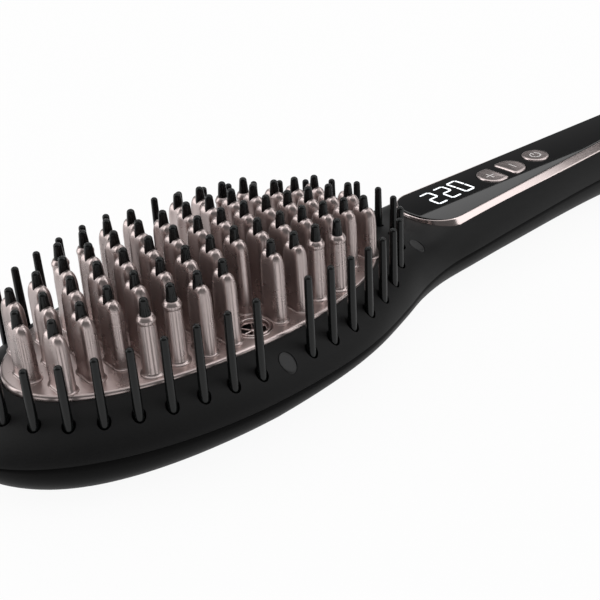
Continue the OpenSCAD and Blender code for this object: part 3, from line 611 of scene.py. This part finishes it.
# A spoke's section: (across it, over the grille's underside)
SPOKE = ((-0.2, 0), (0.2, 0), (0.2, 0.6), (0.12, 0.75), (0, 0.8), (-0.12, 0.75), (-0.2, 0.6))
rims, grilles = Shape(), Shape()
for x, y in OUTLET_PLACES:
    g, o = GRILLE_R, OUTLET_R - 0.16
    rim = [(g, 0), (o, 0), (o, 1.55), (o - 0.08, 1.72), (o - 0.22, 1.78),
           (g + 0.24, 1.78), (g + 0.08, 1.7), (g, 1.5)]
    rims.add(*lathe(rim, 72, (x, y, OUTLET_LOW), closed=True))
    hoop = [(g - 0.4, 0), (g, 0), (g, 0.8), (g - 0.15, 0.88), (g - 0.4, 0.8)]
    grilles.add(*lathe(hoop, 64, (x, y, OUTLET_LOW), closed=True))
    for k in range(3):
        a = math.pi / 3 * k
        bar = []
        for d in (-(g - 0.2), g - 0.2):
            bar.append([(x + d * math.cos(a) - u * math.sin(a), y + d * math.sin(a) + u * math.cos(a),
                         OUTLET_LOW + z) for u, z in SPOKE])
        grilles.add(*stack(bar))
    grilles.add(*lathe([(0, 0), (0.7, 0), (0.7, 0.75), (0.55, 0.92), (0, 1.0)], 32, (x, y, OUTLET_LOW)))
piece(bare("outlet_rings_skin", rims), MAT["rose_trim"], ["outlet_rings"], angle=60)
piece(bare("outlet_grilles_skin", grilles), MAT["rose_trim"], ["outlet_grilles"], angle=50)

# ---- screw covers, flush with the shell round them ----

covers = Shape()
for x, y in COVER_PLACES:
    gx, gy = top_z(x + 0.5, y) - top_z(x - 0.5, y), top_z(x, y + 0.5) - top_z(x, y - 0.5)
    z0 = top_z(x, y)
    verts, faces = lathe([(0, -1.9), (COVER_R, -1.9), (COVER_R, -0.22), (COVER_R - 0.06, -0.1),
                          (COVER_R - 0.2, -0.05), (1.2, -0.04), (0, -0.04)], 56)
    covers.add([(x + u, y + v, z0 + w + (gx * u + gy * v)) for u, v, w in verts], faces)
piece(bare("screw_covers_skin", covers), MAT["cover_plastic"], ["screw_covers"], angle=40)

# ---- control panel and its trim ----

CROWN_RADIUS = (PANEL_HALF_W ** 2 + PANEL_CROWN ** 2) / (2 * PANEL_CROWN)


def crown(y):
    return PANEL_CROWN - (CROWN_RADIUS - math.sqrt(CROWN_RADIUS ** 2 - y * y))


LIP = 0.1               # how far the trim's inner edge stands over the panel's edge
trim_rings = [
    [panel_point(s, y, -TRIM_DROP) for s, y in loop_of(panel_side(0.1))],
    [panel_point(s, y, -TRIM_DROP) for s, y in loop_of(trim_side(0.0))],
    [panel_point(s, y, -TRIM_DROP + 0.12) for s, y in loop_of(trim_side(-0.02))],
]
low_side, high_side = trim_side(-0.02), panel_side(-0.12)
for f in (0.15, 0.5, 0.85, 0.96):
    side = [(a[0] + (b[0] - a[0]) * f, a[1] + (b[1] - a[1]) * f) for a, b in zip(low_side, high_side)]
    z = -TRIM_DROP + 0.12 + (TRIM_DROP - 0.2 + LIP) * f
    trim_rings.append([panel_point(s, y, z) for s, y in loop_of(side)])
trim_rings.append([panel_point(s, y, LIP - 0.03) for s, y in loop_of(panel_side(-0.07))])
trim_rings.append([panel_point(s, y, LIP) for s, y in loop_of(panel_side(0.0))])
trim_rings.append([panel_point(s, y, LIP - 0.03) for s, y in loop_of(panel_side(0.09))])
verts, faces = stack(trim_rings, False, False)
n = len(trim_rings[0])
last_ring = (len(trim_rings) - 1) * n
faces += [(last_ring + k, last_ring + (k + 1) % n, (k + 1) % n, k) for k in range(n)]
piece(bare("trim_ring_skin", Shape().add(verts, faces)), MAT["rose_trim"], ["trim_ring"],
      angle=40)

BUTTONS = {"plus": 32.85, "minus": 42.75, "power": 53.3}
POWER_R, D_DEPTH, D_HALF_W, D_ARC_R = 4.0, 6.8, 4.6, 4.8


def button_reach(kind, a, grow):
    """Distance from a button's middle to its outline in direction a."""
    if kind == "power":
        return POWER_R + grow
    turned = 1 if kind == "plus" else -1
    c, s = math.cos(a) * turned, math.sin(a)
    off, r = D_ARC_R - D_DEPTH / 2, D_ARC_R + grow
    reach = [off * c + math.sqrt(max(0.0, r * r - (off * s) ** 2))]
    if c > 1e-3:
        reach.append((D_DEPTH / 2 + grow) / c)
    if abs(s) > 1e-3:
        reach.append((D_HALF_W + grow) / abs(s))
    return sum(d ** -16 for d in reach) ** (-1 / 16)


def button_outline(kind, grow, steps=96):
    out = []
    for k in range(steps):
        a = 2 * math.pi * k / steps
        r = button_reach(kind, a, grow)
        out.append((BUTTONS[kind] + r * math.cos(a), r * math.sin(a)))
    return out


panel = Shape()
# The panel's edge from its underside up: (inset, height, whether that is counted from the crown)
PANEL_EDGE = [(0.12, -TRIM_DROP, False), (0.12, -0.14, True), (0.17, -0.05, True), (0.3, -0.01, True),
              (0.5, 0.0, True)]
rings = []
for inset, z, on_crown in PANEL_EDGE:
    rings.append([panel_point(s, y, (crown(y) if on_crown else 0) + z)
                  for s, y in loop_of(panel_side(inset))])
panel.add(*stack(rings, True, False))
side, across = panel_side(0.5), [math.sin(math.radians(-90 + 180 * k / 32)) for k in range(33)]
verts = [panel_point(s, w * p, crown(w * p)) for s, w in side for p in across]
m = len(across)
panel.add(verts, [(i * m + k, i * m + k + 1, (i + 1) * m + k + 1, (i + 1) * m + k)
                  for i in range(len(side) - 1) for k in range(m - 1)])
panel_obj = bare("control_panel_skin", panel)
slots = Shape()
for kind in BUTTONS:
    slots.add(*prism(button_outline(kind, 0.2), -4, 3, panel_point))
cut(panel_obj, slots)
piece(panel_obj, MAT["panel_gloss"], ["control_panel"], angle=30)

# ---- lit digits: seven segments with pointed ends ----

DIGIT_S, DIGIT_STEP, DIGIT_W, DIGIT_L, DIGIT_Y, STROKE = 9.5, 5.5, 4.0, 8.2, 2.1, 0.62
TWO, ZERO = "abged", "abcdef"


def segment(name, s0):
    h, g, e = STROKE / 2, 0.06, DIGIT_L / 2 - STROKE / 2
    x0, x1 = s0 + h, s0 + DIGIT_W - h
    if name in "agd":
        y = {"a": e, "g": 0.0, "d": -e}[name]
        a, b = x0 + g, x1 - g
        return [(a, y), (a + h, y + h), (b - h, y + h), (b, y), (b - h, y - h), (a + h, y - h)]
    x = x1 if name in "bc" else x0
    lo, hi = (g, e - g) if name in "bf" else (-e + g, -g)
    return [(x, lo), (x + h, lo + h), (x + h, hi - h), (x, hi), (x - h, hi - h), (x - h, lo + h)]


digits = Shape()
for d, word in enumerate((TWO, TWO, ZERO)):
    for name in word:
        outline = [(s, DIGIT_Y + y) for s, y in segment(name, DIGIT_S + d * DIGIT_STEP)]
        digits.add(*stack([[panel_point(s, y, crown(y) - 0.3) for s, y in outline],
                           [panel_point(s, y, crown(y) + 0.025) for s, y in outline]]))
piece(bare("display_digits_skin", digits), MAT["digit_white"], ["display_digits"], angle=30)

# ---- buttons and their icons ----

PROUD, DISH, BUTTON_LOW = 0.35, 0.07, -2.5
# A button's edge over its side: (out of its outline, height over its top)
BUTTON_EDGE = ((0.0, -0.3), (-0.05, -0.13), (-0.15, -0.04), (-0.3, 0.0))
ICON_R, POWER_STROKE, SIGN_STROKE = 1.55, 0.36, 0.28


def button_top(y, share):
    return crown(y) + PROUD - DISH * (1 - share * share)


def line(s0, points, width):
    """A raised stroke along the points, as (along the panel, across it) from the middle of a button at s0."""
    left, right = [], []
    for i, p in enumerate(points):
        a, b = points[max(0, i - 1)], points[min(len(points) - 1, i + 1)]
        d = Vector((b[0] - a[0], b[1] - a[1])).normalized() * (width / 2)
        left.append((p[0] - d.y, p[1] + d.x))
        right.append((p[0] + d.y, p[1] - d.x))
    low, high = [], []
    for u, v in left + right[::-1]:
        share = min(1.0, math.hypot(u, v) / 3.9)
        low.append(panel_point(s0 + u, v, button_top(v, share) - 0.05))
        high.append(panel_point(s0 + u, v, button_top(v, share) + 0.03))
    return stack([low, high])


for kind, s0 in BUTTONS.items():
    rings = [[panel_point(s, y, BUTTON_LOW) for s, y in button_outline(kind, 0.0)]]
    for grow, z in BUTTON_EDGE:
        rings.append([panel_point(s, y, button_top(y, 1) + z) for s, y in button_outline(kind, grow)])
    inner = button_outline(kind, -0.3)
    for share in (0.85, 0.65, 0.45, 0.25, 0.1):
        ring = [(s0 + (s - s0) * share, y * share) for s, y in inner]
        rings.append([panel_point(s, y, button_top(y, share)) for s, y in ring])
    piece(bare(kind + "_button_skin", Shape().add(*stack(rings))), MAT["rose_trim"],
          [kind + "_button"], kind + " button", 40)

    icon = Shape()
    if kind == "power":
        arc = [(ICON_R * math.sin(math.radians(a)), ICON_R * math.cos(math.radians(a)))
               for a in range(35, 326, 10)]
        icon.add(*line(s0, arc, POWER_STROKE))
        icon.add(*line(s0, [(0, 0.5), (0, 1.9)], POWER_STROKE))
    else:
        icon.add(*line(s0, [(0, -1.5), (0, 1.5)], SIGN_STROKE))
        if kind == "plus":
            icon.add(*line(s0, [(0.15, 0), (1.5, 0)], SIGN_STROKE))
            icon.add(*line(s0, [(-0.15, 0), (-1.5, 0)], SIGN_STROKE))
    piece(bare(kind + "_icon", icon), MAT["icon_white"], body=kind + " button", angle=30)

# ---- nodes that keep their CAD solids ----

SLOT_OF = {s["node"]: s.get("material_slot") for s in frame["record"].get("subparts", [])}
for name, obj in frame["nodes"].items():
    obj.data.materials.clear()
    obj.data.materials.append(MAT[SLOT_OF[name]])
for name in ("end_collar", "swivel_bush"):
    mod = frame["nodes"][name].modifiers.new("round", "BEVEL")
    mod.width, mod.segments, mod.limit_method, mod.angle_limit = 0.00025, 3, "ANGLE", math.radians(30)

# ---- floor, light, camera ----

floor_mesh = bpy.data.meshes.new("floor")
edge_n, reach, floor_z = 64, 6.0, -0.00006
turns = [2 * math.pi * k / edge_n for k in range(edge_n)]
floor_mesh.from_pydata([(reach * math.cos(a), reach * math.sin(a), floor_z) for a in turns],
                       [], [tuple(range(edge_n))])
floor = bpy.data.objects.new("floor", floor_mesh)
bpy.context.scene.collection.objects.link(floor)
floor_mat = bpy.data.materials.new("floor")
floor_mat.use_nodes = True
nodes, links = floor_mat.node_tree.nodes, floor_mat.node_tree.links
nodes.clear()
out = nodes.new("ShaderNodeOutputMaterial")
paper = nodes.new("ShaderNodeBsdfDiffuse")
tone, speck = nodes.new("ShaderNodeTexNoise"), nodes.new("ShaderNodeValToRGB")
tone.inputs["Scale"].default_value = 4.0
speck.color_ramp.elements[0].color = (0.88, 0.88, 0.88, 1)
speck.color_ramp.elements[1].color = (0.92, 0.92, 0.92, 1)
links.new(tone.outputs["Fac"], speck.inputs["Fac"])
links.new(speck.outputs["Color"], paper.inputs["Color"])
white = nodes.new("ShaderNodeEmission")
white.inputs["Strength"].default_value = 1.0
path = nodes.new("ShaderNodeLightPath")
seen, seen_too, share = (nodes.new("ShaderNodeMath") for _ in range(3))
seen.operation = seen_too.operation = "MAXIMUM"
share.operation = "MULTIPLY"
FLOOR_WHITE = 0.94      # how much of the floor is plain white to the camera and in reflections
share.inputs[1].default_value = FLOOR_WHITE
links.new(path.outputs["Is Camera Ray"], seen.inputs[0])
links.new(path.outputs["Is Glossy Ray"], seen.inputs[1])
links.new(seen.outputs[0], seen_too.inputs[0])
links.new(path.outputs["Is Transmission Ray"], seen_too.inputs[1])
links.new(seen_too.outputs[0], share.inputs[0])
mix = nodes.new("ShaderNodeMixShader")
links.new(share.outputs[0], mix.inputs["Fac"])
links.new(paper.outputs[0], mix.inputs[1])
links.new(white.outputs[0], mix.inputs[2])
links.new(mix.outputs[0], out.inputs["Surface"])
floor_mesh.materials.append(floor_mat)

# The studio: a low white wall all round, dark above it, and a pale panel overhead
world = bpy.data.worlds.new("studio")
bpy.context.scene.world = world
world.use_nodes = True
nodes, links = world.node_tree.nodes, world.node_tree.links
coords = nodes.new("ShaderNodeTexCoord")
split = nodes.new("ShaderNodeSeparateXYZ")
links.new(coords.outputs["Generated"], split.inputs["Vector"])
ramp = nodes.new("ShaderNodeValToRGB")
stops = [(0.0, 1.0), (0.05, 1.0), (0.08, 0.16), (0.66, 0.08), (0.80, 0.75), (1.0, 0.90)]
while len(ramp.color_ramp.elements) < len(stops):
    ramp.color_ramp.elements.new(0.5)
for element, (place, level) in zip(ramp.color_ramp.elements, stops):
    element.position, element.color = place, (level, level, level, 1)
links.new(split.outputs["Z"], ramp.inputs["Fac"])
links.new(ramp.outputs["Color"], nodes["Background"].inputs["Color"])
nodes["Background"].inputs["Strength"].default_value = 1.0


def softbox(name, place, size, watts, aim=(-0.06, 0, 0.02), roll=0.0):
    light = bpy.data.lights.new(name, "AREA")
    light.shape, light.size, light.size_y, light.energy = "RECTANGLE", size[0], size[1], watts
    obj = bpy.data.objects.new(name, light)
    obj.location = place
    turn = (Vector(aim) - Vector(place)).to_track_quat("-Z", "Y").to_matrix()
    obj.rotation_euler = (turn @ Matrix.Rotation(math.radians(roll), 3, "Z")).to_euler()
    obj.visible_camera = False
    bpy.context.scene.collection.objects.link(obj)
    return obj


softbox("softbox_left", (-0.90, 0.72, 0.56), (0.8, 1.1), 6.0)
softbox("softbox_right", (0.62, -0.66, 0.74), (0.7, 1.2), 4.4)
# Its lower edge gives the panel's grey band its sharp boundary
softbox("softbox_back", (0.60, 0.57, 0.86), (1.6, 0.66), 3.3, (0.04, 0, 0.02), roll=8)

camera_data = bpy.data.cameras.new("camera")
camera_data.sensor_width, camera_data.lens = 36.0, 61.98
camera_data.shift_x, camera_data.shift_y = -0.035, -0.02
camera_data.clip_start, camera_data.clip_end = 0.01, 50.0
camera = bpy.data.objects.new("camera", camera_data)
right = Vector((0.75118, -0.65901, -0.03741))
down = Vector((-0.34024, -0.33806, -0.87752))
ahead = Vector((0.56562, 0.67192, -0.4782))
place = Matrix.Translation((-0.1971, -0.17864, 0.13651))
camera.matrix_world = place @ Matrix((right, -down, -ahead)).transposed().to_4x4()
bpy.context.scene.collection.objects.link(camera)
bpy.context.scene.camera = camera
bpy.context.scene.view_settings.view_transform = "Standard"
